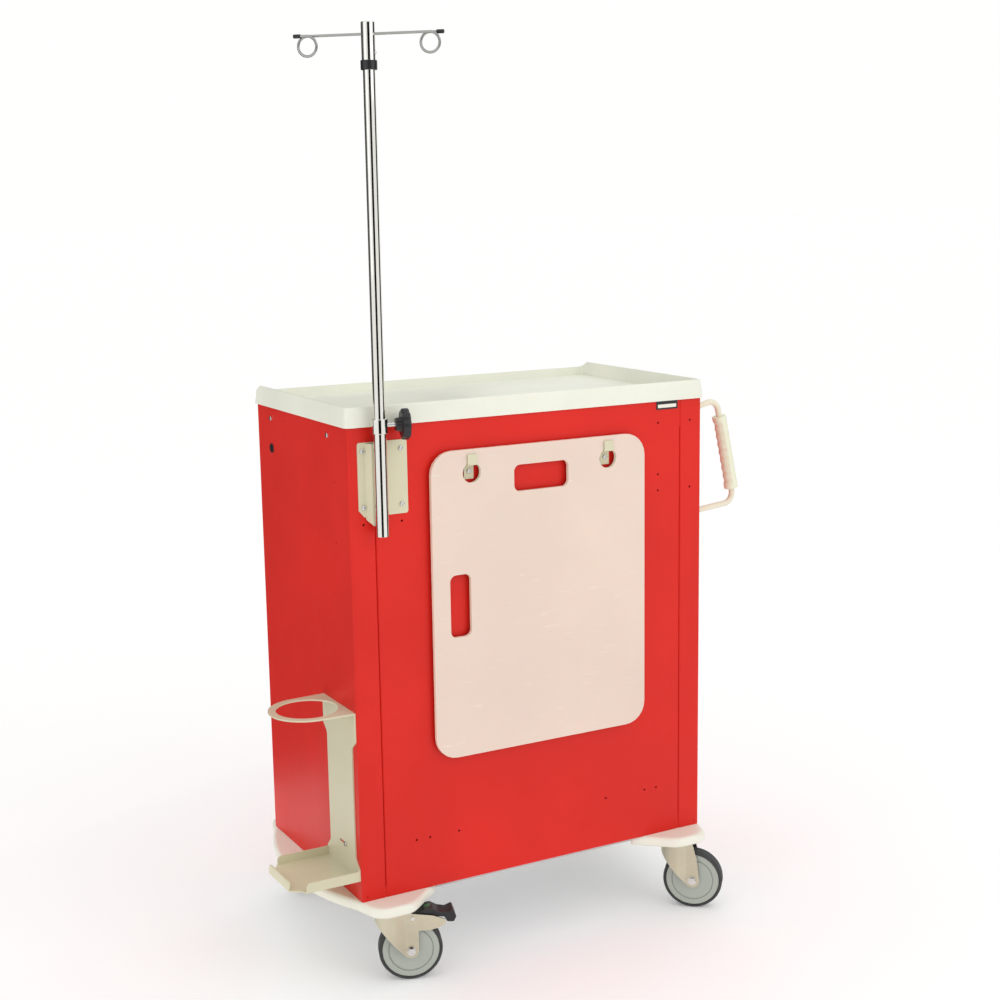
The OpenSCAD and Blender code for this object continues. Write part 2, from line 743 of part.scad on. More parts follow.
// Card holder on the rear panel, just below the tray
module label_plate() {
    border = 3;
    window = [label_size.x - 2 * border, 1, 8];
    color(black) difference() {
        translate([label_spot.x, rear_y, cab_z + label_spot.y]) cube(label_size);
        translate([label_spot.x + border, rear_y + 0.6, cab_z + label_spot.y + border]) cube(window);
    }
}

// Cardiac board and its hooks, in heights above the cabinet's floor
board_mid = 570;
board_off = 6.5;                        // gap between the rear panel and the board
board_corner = 45;
hook_dx = 155;
hook_hole_r = 20;
hook_hole_z = board_mid + board_h / 2 - 45.5;
hook_w = 21;
hook_t = 2.5;
hook_screw_z = hook_hole_z + 1.5;
grip_slot = [124, 53];                  // the lifting slot near the top edge
side_slot = [46, 125];                  // the one near the oxygen bracket's end
slot_corner = 13;

module cardiac_board() {
    half = [board_w / 2, board_h / 2];
    thick = board_t + 2;
    color(white_board) translate([board_x, rear_y + board_off, cab_z + board_mid]) rotate([90, 0, 0])
        mirror([0, 0, 1])
        difference() {
            linear_extrude(board_t) round_box(2 * half, board_corner);
            for (s = [-1, 1]) translate([s * hook_dx, hook_hole_z - board_mid, -1])
                cylinder(r = hook_hole_r, h = thick);
            translate([0, half.y - 66, -1]) linear_extrude(thick) round_box(grip_slot, slot_corner);
            translate([half.x - 59, 0, -1]) linear_extrude(thick) round_box(side_slot, slot_corner);
        }
}

module board_hooks() {
    shelf = cab_z + hook_hole_z + sqrt(hook_hole_r * hook_hole_r - hook_w * hook_w / 4) - 0.3 - hook_t / 2;
    wall_y = rear_y + hook_t / 2;
    lip_y = rear_y + board_off + board_t + 1 + hook_t / 2;
    color(beige) difference() {
        for (s = [-1, 1]) across_x(board_x + s * hook_dx - hook_w / 2, hook_w)
            polygon(folded([[wall_y, cab_z + hook_hole_z - 14], [wall_y, shelf], [lip_y, shelf],
                            [lip_y, shelf + 21]],
                           t = hook_t, r = 1.5));
        for (s = [-1, 1]) rear_drill(board_x + s * hook_dx, hook_screw_z, screw_r);
    }
}

// Oxygen bracket, in heights above the cabinet's floor
ring_z = 381;
ring_x = 468;
ring_out = 75;
strap_wide = 156;
strap_narrow = 122;
rest_z = 43;
rest_x = 540;
rest_lip = 20;
oxygen_screw_y = 168;
oxygen_screw_z = [99.5, 363];

module lip_outline(length) {
    polygon(rounded([[0, 0, 0], [length, 0, 0], [length, rest_lip, 9], [0, rest_lip, 9]]));
}

module oxygen_bracket() {
    w = strap_wide / 2;
    v = strap_narrow / 2;
    floor_z = cab_z + rest_z;
    color(beige) {
        // Strap against the cabinet's side, wider at both ends
        difference() {
            across_x(side_x, oxygen_t) translate([oxygen_y, cab_z]) polygon(rounded([
                [-w, rest_z, 0], [w, rest_z, 0], [w, 66, 8], [v, 84, 10], [v, 310, 10], [w, 325, 8],
                [w, ring_z + oxygen_t, 0], [-w, ring_z + oxygen_t, 0], [-w, 325, 8], [-v, 310, 10],
                [-v, 84, 10], [-w, 66, 8]]));
            for (z = oxygen_screw_z) translate([side_x, oxygen_screw_y - 13, cab_z + z]) rotate([90, 0, 90])
                slot_cut(34, 2 * screw_r + 1, 4 * oxygen_t);
        }
        // Ring that holds the cylinder upright
        difference() {
            translate([0, 0, cab_z + ring_z]) linear_extrude(oxygen_t) difference() {
                union() {
                    translate([ring_x, oxygen_y]) circle(r = ring_out);
                    polygon([[side_x, oxygen_y - w], [ring_x - 5, oxygen_y - ring_out],
                             [ring_x - 5, oxygen_y + ring_out], [side_x, oxygen_y + w]]);
                }
                translate([side_x - 20, oxygen_y - w]) square([20, strap_wide]);
            }
            translate([ring_x, oxygen_y, cab_z + ring_z - 1]) cylinder(r = oxygen_r, h = oxygen_t + 2);
        }
        // Rest under the cylinder, with three upturned lips and open corners
        translate([0, oxygen_y, floor_z]) linear_extrude(oxygen_t) polygon(rounded([
            [side_x, -w, 0], [rest_x - 26, -w, 4], [rest_x - 20, 12 - w, 8], [rest_x - 6, 20 - w, 8],
            [rest_x, 24 - w, 2],
            [rest_x, w - 24, 2], [rest_x - 6, w - 20, 8], [rest_x - 20, w - 12, 8], [rest_x - 26, w, 4],
            [side_x, w, 0]]));
        for (y = [-w, w - oxygen_t])
            translate([side_x, oxygen_y + y + oxygen_t, floor_z]) rotate([90, 0, 0])
            linear_extrude(oxygen_t) polygon(rounded([[0, 0, 0], [rest_x - 27 - side_x, 0, 0],
                [rest_x - 27 - side_x, rest_lip, 9], [0, rest_lip, 0]]));
        across_x(rest_x - oxygen_t, oxygen_t) translate([oxygen_y + 25 - w, floor_z])
            lip_outline(strap_wide - 50);
    }
}

// Push handle: a bent rod in a plane across the cabinet's side
handle_z = 907;
handle_lean = 13.8;                     // how steeply its upper leg rises outwards
handle_bend = 22;
handle_steps = [[46, 91.7], [182, 96.5], [91.6, 0]];
handle_bury = 2;                        // the rod is cut off flush with the panel
grip_r = 15.7;
grip_len = 162;
grip_at = 14;

module at_handle() {
    translate([-side_x, handle_y, cab_z + handle_z]) rotate([90, 180 + handle_lean, 0])
        translate([-handle_bury, 0, 0]) children();
}

module handle_rod() {
    color(cream) difference() {
        at_handle() bent_rod(handle_steps, handle_bend, handle_r);
        translate([-side_x, handle_y - 20, shell_top - 400]) cube([40, 40, 400]);
    }
}

module handle_grip() {
    scallops = 8;
    pitch = (grip_len - 20) / scallops;
    color(cream) at_handle() along_rod(handle_steps, handle_bend, 1)
        translate([grip_at, 0, 0]) difference() {
        rotate([0, 90, 0]) rotate_extrude() polygon(rounded([
            [handle_r, 0, 0], [grip_r, 0, 6], [grip_r, grip_len, 6], [handle_r, grip_len, 0]]));
        // Finger grooves on the side towards the cabinet
        for (i = [0 : scallops - 1])
            translate([10 + pitch * (i + 0.5), grip_r + 7.5, 0]) cylinder(r = 10.5, h = 60, center = true);
    }
}

// Intravenous pole, in heights above the cabinet's floor

bracket_t = 2.5;
bracket_x = [280, 382];
bracket_z = [764.5, 906];
socket_z = [730.5, 931];
collar_z = [924.5, 952.5];
collar_r = 15.6;
clamp_z = 940;
clamp_turn = 14;                        // how far the clamp's stud points away from the cabinet
stud_r = 4;
knob_r = 29.5;
knob_t = 11;
pole_z = [745, 1630];
head_z = [1594, 1660];
ring_h = 17;
hook_z = 1639;
wire_r = 2.4;
loop_r = 17.6;
loop_at = 113.5;
loop_shift = 2 * wire_r + 0.2;
button_z = 1606.7;
button_r = 3.2;
slip = 0.05;                            // running clearance on a radius
pole_y = rear_y + pole_off;

module at_pole(z) {
    translate([pole_x, pole_y, cab_z + z]) children();
}

module iv_bracket() {
    size = [bracket_x[1] - bracket_x[0], bracket_z[1] - bracket_z[0]];
    crest = rear_y + pole_off - socket_r - bracket_t / 2;
    foot = rear_y + bracket_t / 2;
    drop = 16;
    color(beige) difference() {
        union() {
            translate([bracket_x[0] + size.x / 2, rear_y + bracket_t, cab_z + bracket_z[0] + size.y / 2])
                rotate([90, 0, 0]) linear_extrude(bracket_t) round_box(size, 5);
            // Folded saddle that the socket tube is welded to
            translate([0, 0, cab_z + bracket_z[0] - drop])
                linear_extrude(size.y + drop - 2) polygon(folded([
                [pole_x - 20, foot], [pole_x - 12, crest], [pole_x + 12, crest],
                [pole_x + 19.5, foot]], t = bracket_t, r = 1));
        }
        for (x = [inner_col, outer_col], z = [hole_rows[1], hole_rows[2]]) rear_drill(x, z, screw_r);
        // The saddle's lower edge slants down from the plate
        translate([pole_x + 24, rear_y, cab_z + bracket_z[0]]) rotate([0, -50, 0])
            translate([-30, -1, -40]) cube([60, 40, 40]);
        translate([pole_x - 40, rear_y, cab_z + bracket_z[0] - drop - 1]) cube([29, 40, drop]);
    }
}

module pole_socket() {
    color(steel) at_pole(0) difference() {
        translate([0, 0, socket_z[0]]) cylinder(r = socket_r, h = socket_z[1] - socket_z[0]);
        translate([0, 0, socket_z[0] - 1]) cylinder(r = pole_r + slip, h = socket_z[1] - socket_z[0] + 2);
    }
}

module clamp_collar() {
    color(steel) at_pole(0) difference() {
        rotate_extrude() polygon(rounded([
            [pole_r + slip, collar_z[1], 0], [collar_r, collar_z[1], 1.2], [collar_r, collar_z[0], 1.2],
            [socket_r, collar_z[0], 0], [socket_r, socket_z[1], 0], [pole_r + slip, socket_z[1], 0]]));
        translate([0, 0, clamp_z]) rotate([0, -90, -clamp_turn]) cylinder(r = stud_r + slip, h = 30);
    }
}

module clamp_stud() {
    color(steel) at_pole(clamp_z) rotate([0, -90, -clamp_turn])
        translate([0, 0, pole_r + 0.4]) cylinder(r = stud_r, h = 30);
}

module clamp_knob() {
    lobes = 7;
    color(black) at_pole(clamp_z) rotate([0, -90, -clamp_turn]) difference() {
        union() {
            translate([0, 0, 29]) cylinder(r1 = 9, r2 = 12, h = 13);
            translate([0, 0, 41]) rotate_extrude() polygon(rounded([
                [0, 0, 0], [knob_r, 0, 4], [knob_r, knob_t, 4], [14, knob_t + 2, 3], [0, knob_t + 2, 0]]));
        }
        for (i = [0 : lobes - 1]) rotate([0, 0, 360 * (i + 0.5) / lobes])
            translate([knob_r + 4.5, 0, 38]) cylinder(r = 8.5, h = 20);
        translate([0, 0, 20]) cylinder(r = stud_r, h = pole_r + 10.4);
    }
}

module iv_pole() {
    color(steel) at_pole(0) difference() {
        translate([0, 0, pole_z[0]]) cylinder(r = pole_r, h = pole_z[1] - pole_z[0]);
        translate([0, 0, pole_z[0] - 1]) cylinder(r = pole_r - 1.3, h = pole_z[1] - pole_z[0] + 2);
        translate([0, 0, button_z]) rotate([0, 90, hook_turn]) cylinder(r = button_r + slip, h = 30);
    }
}

// Spring button that locks the hook head on the pole
module snap_button() {
    tip = socket_r + 2;
    color(steel) at_pole(button_z) rotate([0, 90, hook_turn]) rotate_extrude() polygon(rounded([
        [0, 6, 0], [button_r + 1.6, 6, 0], [button_r + 1.6, 8, 0], [button_r, 8, 0],
        [button_r, tip, 2.4], [0, tip, 0]]));
}

module hook_head() {
    wall_r = pole_r + slip;
    color(steel) at_pole(0) difference() {
        rotate_extrude() polygon(rounded([
            [wall_r, head_z[0], 0], [socket_r, head_z[0], 0], [socket_r, head_z[1], 1.5], [0, head_z[1], 0],
            [0, head_z[1] - 2, 0], [wall_r, head_z[1] - 2, 0]]));
        translate([0, 0, button_z]) rotate([0, 90, hook_turn]) cylinder(r = button_r + 0.3, h = 30);
        translate([0, 0, hook_z]) rotate([0, 90, hook_turn]) cylinder(r = wire_r, h = 60, center = true);
    }
}

module head_ring() {
    color(black) at_pole(head_z[0] - ring_h) rotate_extrude() polygon(rounded([
        [pole_r + slip, 0, 0], [15, 0, 1.5], [15, ring_h, 1.5], [pole_r + slip, ring_h, 0]]));
}

// Straight rod through the head, with a loop of one turn near each end. Each half of a loop
// leans so that the wire comes round beside itself, and every second length is thinner by a
// hair and reaches a little way into the next ones.
module hook_rod() {
    tip = hook_span / 2 - 2;
    lean = asin(loop_shift / 4 / loop_r);
    thin = wire_r - 0.03;
    color(steel) at_pole(hook_z) rotate([0, 0, hook_turn]) {
        rotate([0, 90, 0]) cylinder(r = thin, h = 2 * loop_at + 1.6, center = true);
        for (s = [0, 180]) rotate([0, 0, s]) translate([loop_at, 0, 0]) {
            rotate([lean, 0, 0]) translate([0, 0, -loop_r]) rotate([90, 0, 0]) rotate([0, 0, -90])
                rotate_extrude(angle = 180) translate([loop_r, 0]) circle(r = wire_r, $fn = 24);
            translate([0, loop_shift, 0]) {
                rotate([-lean, 0, 0]) translate([0, 0, -loop_r]) rotate([90, 0, 0]) rotate([0, 0, 87])
                    rotate_extrude(angle = 186) translate([loop_r, 0]) circle(r = thin, $fn = 24);
                rotate([0, 90, 0]) cylinder(r = wire_r, h = tip - loop_at);
            }
        }
    }
}

module hook_tips() {
    length = 13.5;
    color(black) at_pole(hook_z) rotate([0, 0, hook_turn]) for (s = [-1, 1])
        translate([s * hook_span / 2, s * loop_shift, 0]) rotate([0, -s * 90, 0]) difference() {
            rotate_extrude() polygon(rounded([[0, 0, 0], [wire_r + 1.2, 0, 1.5],
                                              [wire_r + 1.2, length, 0.6], [0, length, 0]]));
            translate([0, 0, 2]) cylinder(r = wire_r, h = length);
        }
}

// Everything above is drawn from the middle of the cabinet
translate([-cart_middle.x, -cart_middle.y, 0]) {
    side_panel(1);  // side_panel_left
    side_panel(-1);  // side_panel_right
    back_panel();
    base_pan();
    top_frame();
    top_tray();
    chassis();
    bumper(1);  // bumper_left
    bumper(-1);  // bumper_right
    slide_rails();
    lock_plate();
    lock_handle();
    drawer_box(1);  // drawer_box_1
    drawer_box(2);  // drawer_box_2
    drawer_box(3);  // drawer_box_3
    drawer_box(4);  // drawer_box_4
    drawer_box(5);  // drawer_box_5
    drawer_front(1);  // drawer_front_1
    drawer_front(2);  // drawer_front_2
    drawer_front(3);  // drawer_front_3
    drawer_front(4);  // drawer_front_4
    drawer_front(5);  // drawer_front_5
    panel_screws();
    hole_plug();
    board_hooks();
    cardiac_board();
    oxygen_bracket();
    handle_rod();
    handle_grip();
    iv_bracket();
    pole_socket();
    clamp_collar();
    clamp_stud();
    clamp_knob();
    iv_pole();
    snap_button();
    hook_head();
    head_ring();
    hook_rod();
    hook_tips();
    caster_plates();
    caster_bolts();
    fork(1, true);  // fork_1
    fork(2, false);  // fork_2
    fork(3, false);  // fork_3
    fork(4, false);  // fork_4
    axle(1, true);  // axle_1
    axle(2, false);  // axle_2
    axle(3, false);  // axle_3
    axle(4, false);  // axle_4
    wheel(1);  // wheel_1
    wheel(2);  // wheel_2
    wheel(3);  // wheel_3
    wheel(4);  // wheel_4
    tyre(1);  // tyre_1
    tyre(2);  // tyre_2
    tyre(3);  // tyre_3
    tyre(4);  // tyre_4
    pedal(1);  // pedal_1
    label_plate();
}
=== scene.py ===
import json
import math

import bpy
from mathutils import Matrix, Vector


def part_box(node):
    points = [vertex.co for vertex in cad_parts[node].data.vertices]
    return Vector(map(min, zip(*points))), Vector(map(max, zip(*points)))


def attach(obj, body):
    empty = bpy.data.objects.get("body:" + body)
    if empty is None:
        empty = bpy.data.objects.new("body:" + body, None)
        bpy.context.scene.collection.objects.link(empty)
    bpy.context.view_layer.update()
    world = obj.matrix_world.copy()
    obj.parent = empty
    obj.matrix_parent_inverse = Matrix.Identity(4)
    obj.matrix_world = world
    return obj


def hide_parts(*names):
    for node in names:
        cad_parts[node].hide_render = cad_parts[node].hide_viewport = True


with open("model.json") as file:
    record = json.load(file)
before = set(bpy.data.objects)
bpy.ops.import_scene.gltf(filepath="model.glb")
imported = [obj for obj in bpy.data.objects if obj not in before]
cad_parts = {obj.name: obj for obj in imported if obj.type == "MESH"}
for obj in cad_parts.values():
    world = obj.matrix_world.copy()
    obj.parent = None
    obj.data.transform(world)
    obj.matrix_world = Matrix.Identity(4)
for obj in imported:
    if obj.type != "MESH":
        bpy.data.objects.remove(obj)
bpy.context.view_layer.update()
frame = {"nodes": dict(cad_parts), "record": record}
nodes = frame["nodes"]
behaviour = frame["record"]["behaviour"]
slotOf = {part["node"]: part["material_slot"] for part in frame["record"]["subparts"]}
bodyOf = {node: body for body, members in behaviour["bodies"].items() for node in members}
print("frame loaded:", len(nodes), "nodes")


# Shader sockets that do arithmetic, and the graph that makes every node
class Value:
    def __init__(self, graph, socket):
        self.graph = graph
        self.socket = socket

    def __add__(self, other):
        return self.graph.maths("ADD", self, other)

    def __sub__(self, other):
        return self.graph.maths("SUBTRACT", self, other)

    def __mul__(self, other):
        return self.graph.maths("MULTIPLY", self, other)

    def __rsub__(self, other):
        return self.graph.maths("SUBTRACT", other, self)

    __radd__ = __add__
    __rmul__ = __mul__


class Finish:
    def __init__(self, name, **look):
        self.material = bpy.data.materials.new(name)
        self.material.use_nodes = True
        self.tree = self.material.node_tree
        self.shader = self.tree.nodes["Principled BSDF"]
        for socket, value in look.items():
            self.feed(self.shader.inputs[socket.replace("_", " ")], value)
        self.place = self.node("ShaderNodeTexCoord", output="Object")

    def feed(self, socket, value):
        if isinstance(value, Value):
            self.tree.links.new(value.socket, socket)
        else:
            socket.default_value = value

    def node(self, kind, settings=(), sockets=(), output=0):
        new = self.tree.nodes.new(kind)
        for key, value in dict(settings).items():
            setattr(new, key, value)
        for key, value in dict(sockets).items():
            self.feed(new.inputs[key], value)
        return Value(self, new.outputs[output])

    def maths(self, operation, a, b):
        return self.node("ShaderNodeMath", {"operation": operation}, {0: a, 1: b})

    def noise(self, scale, detail=3.0, stretch=(1, 1, 1), roughness=0.55):
        at = self.node("ShaderNodeMapping", (), {"Vector": self.place, "Scale": stretch})
        return self.node("ShaderNodeTexNoise", (),
                         {"Vector": at, "Scale": scale, "Detail": detail, "Roughness": roughness})

    def ramp(self, value, low, high):          # 0 below low, 1 above high
        return self.node("ShaderNodeMapRange", {"interpolation_type": "SMOOTHSTEP"},
                         {"Value": value, "From Min": low, "From Max": high})

    def mix(self, factor, a, b):
        return self.node("ShaderNodeMix", {"data_type": "RGBA"}, {0: factor, 6: a, 7: b}, output=2)

    def dot(self, a, b):
        return self.node("ShaderNodeVectorMath", {"operation": "DOT_PRODUCT"}, {0: a, 1: b}, output="Value")

    def edges(self, radius):                   # 1 on sharp edges, 0 on flats
        soft = self.node("ShaderNodeBevel", {"samples": 4}, {"Radius": radius})
        face = self.node("ShaderNodeNewGeometry", output="Normal")
        return self.ramp(1 - self.dot(soft, face), 0.01, 0.12)

    def facing(self, axis):                    # how squarely a face looks along an axis
        face = self.node("ShaderNodeTexCoord", output="Normal")
        return self.node("ShaderNodeMath", {"operation": "ABSOLUTE"}, {0: self.dot(face, axis)})

    def bump(self, height, strength, distance=0.001):
        self.feed(self.shader.inputs["Normal"], self.node(
            "ShaderNodeBump", (), {"Height": height, "Strength": strength, "Distance": distance}))

    def set(self, socket, value):
        self.feed(self.shader.inputs[socket], value)


def shade(colour, factor):
    return tuple(min(1.0, c * factor) for c in colour[:3]) + (1.0,)


paintLook = {"grainScale": 900, "grain": 0.10, "drift": 0.07, "edgeRadius": 0.0016}


# worn sets how light the paint goes on edges: partly edge wear, partly a painted edge highlight
def powderCoat(name, colour, roughness=0.38, worn=1.25, coat=0.25, gloss=0.5):
    f = Finish(name, Metallic=0.0, Coat_Weight=coat, Coat_Roughness=0.22, IOR=1.5, Specular_IOR_Level=gloss)
    grain = f.noise(paintLook["grainScale"], 1.0)
    cloud = f.noise(3.2, 4.0)
    smear = f.noise(14, 5.0, (1, 1, 0.25))
    drift = paintLook["drift"]
    base = f.mix(f.ramp(cloud, 0.35, 0.68), shade(colour, 1 - drift), shade(colour, 1 + drift / 2))
    # lighter paint on edges in noisy patches, partly edge wear and partly a painted edge highlight
    edgeChipsAndHighlight = f.edges(paintLook["edgeRadius"]) * f.ramp(f.noise(60, 4.0), 0.42, 0.62)
    f.set("Base Color", f.mix(edgeChipsAndHighlight * 0.35, base, shade(colour, worn)))
    f.set("Roughness", roughness + (smear - 0.5) * 0.16 + edgeChipsAndHighlight * 0.12)
    f.bump(grain + cloud * 0.6, paintLook["grain"], 0.0004)
    return f.material


plasticLook = {"grainScale": 1500, "grain": 0.07, "dirt": 0.05}


def mouldedPlastic(name, colour, roughness=0.42, grainScale=None, grain=None, glow=0.0):
    f = Finish(name, Metallic=0.0, IOR=1.47, Subsurface_Weight=glow, Subsurface_Scale=0.004)
    skin = f.noise(grainScale or plasticLook["grainScale"], 2.0)
    cloud = f.noise(5, 4.0)
    marks = f.ramp(f.noise(38, 6.0, (1, 1, 0.4)), 0.60, 0.74)
    base = f.mix(f.ramp(cloud, 0.3, 0.7), shade(colour, 1 - plasticLook["dirt"]), shade(colour, 1.02))
    f.set("Base Color", f.mix(marks * 0.18, base, shade(colour, 0.88)))
    f.set("Roughness", roughness + (cloud - 0.5) * 0.15 + marks * 0.08)
    f.bump(skin, grain or plasticLook["grain"], 0.0003)
    return f.material


def blackPlastic(name, roughness=0.36):
    f = Finish(name, Metallic=0.0, IOR=1.49)
    skin = f.node("ShaderNodeTexVoronoi", {"feature": "F1"}, {"Vector": f.place, "Scale": 1100})
    worn = f.edges(0.0012) * f.ramp(f.noise(90, 4.0), 0.4, 0.65)
    f.set("Base Color", f.mix(worn, (0.013, 0.013, 0.015, 1), (0.05, 0.05, 0.052, 1)))
    f.set("Roughness", roughness + worn * 0.1 + (f.noise(30, 4.0) - 0.5) * 0.16)
    f.bump(skin, 0.12, 0.0002)
    return f.material


def brightMetal(name, colour, roughness, brush=(1, 1, 1), line=0.02, tint=0.04, smudge=0.06, edgeGlint=0.0):
    f = Finish(name, Metallic=1.0)
    lines = f.noise(700, 2.0, brush)
    cloud = f.noise(9, 5.0)
    base = f.mix(f.ramp(cloud, 0.3, 0.7), shade(colour, 1 - tint), shade(colour, 1 + tint / 2))
    glintMask = f.edges(0.0012) * edgeGlint             # painted highlight: edges are lighter in colour, and also smoother
    f.set("Base Color", f.mix(glintMask, base, (0.86, 0.86, 0.84, 1)))
    smears = f.ramp(f.noise(45, 6.0), 0.5, 0.8)
    f.set("Roughness", roughness + smears * smudge + (lines - 0.5) * line - glintMask * 0.12)
    f.bump(lines, 0.04, 0.0001)
    return f.material


def tyreRubber(name):
    f = Finish(name, Metallic=0.0, IOR=1.45)
    skin = f.noise(1200, 3.0)
    dust = f.ramp(f.noise(26, 6.0), 0.45, 0.75)
    f.set("Base Color", f.mix(dust * 0.6, (0.040, 0.040, 0.042, 1), (0.095, 0.090, 0.085, 1)))
    f.set("Roughness", 0.62 + dust * 0.18)
    f.bump(skin, 0.18, 0.0004)
    return f.material


# the face colour is pinkish with a painted red tint, standing in for light from the nearby red panel
boardLook = {"face": (0.79, 0.635, 0.54, 1), "edge": (0.92, 0.87, 0.72, 1), "glow": 0.15}


def boardPlastic(name):
    f = Finish(name, Metallic=0.0, IOR=1.5, Subsurface_Weight=boardLook["glow"], Subsurface_Scale=0.006)
    cloud = f.noise(2.4, 4.0)
    scuff = f.ramp(f.noise(20, 6.0, (1, 1, 6)), 0.62, 0.75)
    # the faces carry the painted red tint; the edges take the cream edge colour without it
    face = f.mix(f.ramp(cloud, 0.3, 0.7), shade(boardLook["face"], 0.96), shade(boardLook["face"], 1.03))
    rim = 1 - f.ramp(f.facing((0, 1, 0)), 0.75, 0.97)
    f.set("Base Color", f.mix(rim, f.mix(scuff * 0.25, face, boardLook["edge"]), boardLook["edge"]))
    f.set("Roughness", 0.34 + (cloud - 0.5) * 0.12 + scuff * 0.15)
    f.bump(f.noise(420, 3.0), 0.08, 0.0004)
    return f.material


red = (0.70, 0.016, 0.009, 1)
finishes = {
    "red_paint": powderCoat("redPowderCoat", red, 0.38, coat=0.04, gloss=0.24),
    "white_plastic": mouldedPlastic("trayPlastic", (0.81, 0.82, 0.71, 1), 0.40, glow=0.05),
    "cream_plastic": mouldedPlastic("bumperPlastic", (0.88, 0.87, 0.76, 1), 0.44, glow=0.05),
    "beige_paint": powderCoat("beigePowderCoat", (0.67, 0.63, 0.45, 1), 0.42, 1.15, 0.1, 0.35),
    "cream_paint": powderCoat("creamPowderCoat", (0.84, 0.79, 0.63, 1), 0.36, 1.08, 0.15, 0.4),
    "grey_paint": powderCoat("greyPowderCoat", (0.60, 0.61, 0.62, 1), 0.45, 1.15, 0.1, 0.4),
    # the last number for zinc and bright steel is the strength of the painted edge highlight
    "zinc_steel": brightMetal("zincPlate", (0.62, 0.58, 0.44, 1), 0.32, (1, 1, 1), 0.08, 0.10, 0.14, 0.7),
    "bright_steel": brightMetal("brightSteel", (0.70, 0.70, 0.68, 1), 0.22, (1, 1, 6), 0.08, 0.06, 0.12, 0.4),
    "chrome": brightMetal("chromePlate", (0.80, 0.79, 0.74, 1), 0.05, (1, 1, 0.1), 0.02, 0.02, 0.07),
    "black_plastic": blackPlastic("blackPlastic"),
    "wheel_plastic": mouldedPlastic("wheelPlastic", (0.42, 0.45, 0.40, 1), 0.46),
    "tyre_rubber": tyreRubber("tyreRubber"),
    "board_plastic": boardPlastic("boardPlastic"),
}
print("finishes made:", len(finishes))


def selectOnly(piece):
    if bpy.context.object and bpy.context.object.mode != "OBJECT":
        bpy.ops.object.mode_set(mode="OBJECT")
    bpy.ops.object.select_all(action="DESELECT")
    piece.select_set(True)
    bpy.context.view_layer.objects.active = piece


def applied(piece, kind, **settings):
    selectOnly(piece)
    modifier = piece.modifiers.new("step", kind)
    for key, value in settings.items():
        setattr(modifier, key, value)
    bpy.ops.object.modifier_apply(modifier=modifier.name)


def dressed(piece, body, slot, *stands, finish=None):
    piece.data.materials.clear()
    piece.data.materials.append(finish or finishes[slot])
    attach(piece, body)
    if stands:
        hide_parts(*stands)
    return piece


# A frame node with its edges rounded off: width of the rounding in metres
def softened(name, width, segments=3, angle=30, smooth=35):
    mesh = nodes[name].data.copy()
    piece = bpy.data.objects.new(name + ".soft", mesh)
    bpy.context.scene.collection.objects.link(piece)
    selectOnly(piece)
    bpy.ops.object.mode_set(mode="EDIT")
    bpy.ops.mesh.select_all(action="SELECT")
    bpy.ops.mesh.remove_doubles(threshold=0.00002)
    bpy.ops.mesh.dissolve_limited(angle_limit=math.radians(0.4))
    if name.startswith("drawer_box"):          # a rim round an opening is split at its corners
        bpy.ops.mesh.quads_convert_to_tris(quad_method="BEAUTY", ngon_method="BEAUTY")
        bpy.ops.mesh.tris_convert_to_quads(face_threshold=0.02, shape_threshold=math.pi)
    bpy.ops.object.mode_set(mode="OBJECT")
    if width:
        applied(piece, "BEVEL", width=width, segments=segments, limit_method="ANGLE",
                angle_limit=math.radians(angle), miter_outer="MITER_ARC", harden_normals=False)
    bpy.ops.object.shade_smooth_by_angle(angle=math.radians(smooth))
    applied(piece, "WEIGHTED_NORMAL", keep_sharp=True)
    return dressed(piece, bodyOf[name], slotOf[name], name)


softEdges = {
    "side_panel_left": 0.0004, "side_panel_right": 0.0004, "back_panel": 0.0004, "base_pan": 0.0004,
    "top_frame": 0.0004, "top_tray": 0.0014, "chassis": 0.0008, "bumper_left": 0, "bumper_right": 0,
    "slide_rails": 0, "lock_plate": 0.0004, "lock_handle": 0.0014,
    "panel_screws": 0.00015, "hole_plug": 0.0003, "board_hooks": 0.0004, "cardiac_board": 0.0022,
    "oxygen_bracket": 0.0006, "handle_rod": 0, "iv_bracket": 0.0005,
    "pole_socket": 0.0004, "clamp_collar": 0.0003, "clamp_stud": 0.0004,
    "iv_pole": 0.0002, "snap_button": 0, "hook_head": 0.0003, "head_ring": 0.0003, "hook_rod": 0,
    "hook_tips": 0.0003, "caster_plates": 0.0008, "caster_bolts": 0.0006, "pedal_1": 0.0012,
    "label_plate": 0.0003,
}
for number in range(1, 6):
    softEdges[f"drawer_box_{number}"] = 0.0003
    softEdges[f"drawer_front_{number}"] = 0.0004
for number in range(1, 5):
    softEdges[f"fork_{number}"] = 0.0008
    softEdges[f"axle_{number}"] = 0.0006
    softEdges[f"wheel_{number}"] = 0.0006
    softEdges[f"tyre_{number}"] = 0
for name, width in softEdges.items():
    softened(name, width)
wire = brightMetal("rodChrome", (0.40, 0.40, 0.38, 1), 0.10, (1, 1, 1), 0.02, 0.05, 0.06)
dressed(bpy.data.objects["hook_rod.soft"], bodyOf["hook_rod"], slotOf["hook_rod"], finish=wire)
print("edges softened:", len(softEdges), "pieces")


def pick(piece, kind, test):                   # selects vertices or faces by place
    bpy.ops.object.mode_set(mode="OBJECT")
    mesh = piece.data
    for part in (mesh.vertices, mesh.edges, mesh.polygons):
        part.foreach_set("select", [False] * len(part))
    bpy.context.tool_settings.mesh_select_mode = (kind == "VERT", False, kind == "FACE")
    if kind == "VERT":
        for vertex in mesh.vertices:
            vertex.select = test(vertex.co)
    else:
        for face in mesh.polygons:
            face.select = test(face.center, face.normal)
    bpy.ops.object.mode_set(mode="EDIT")


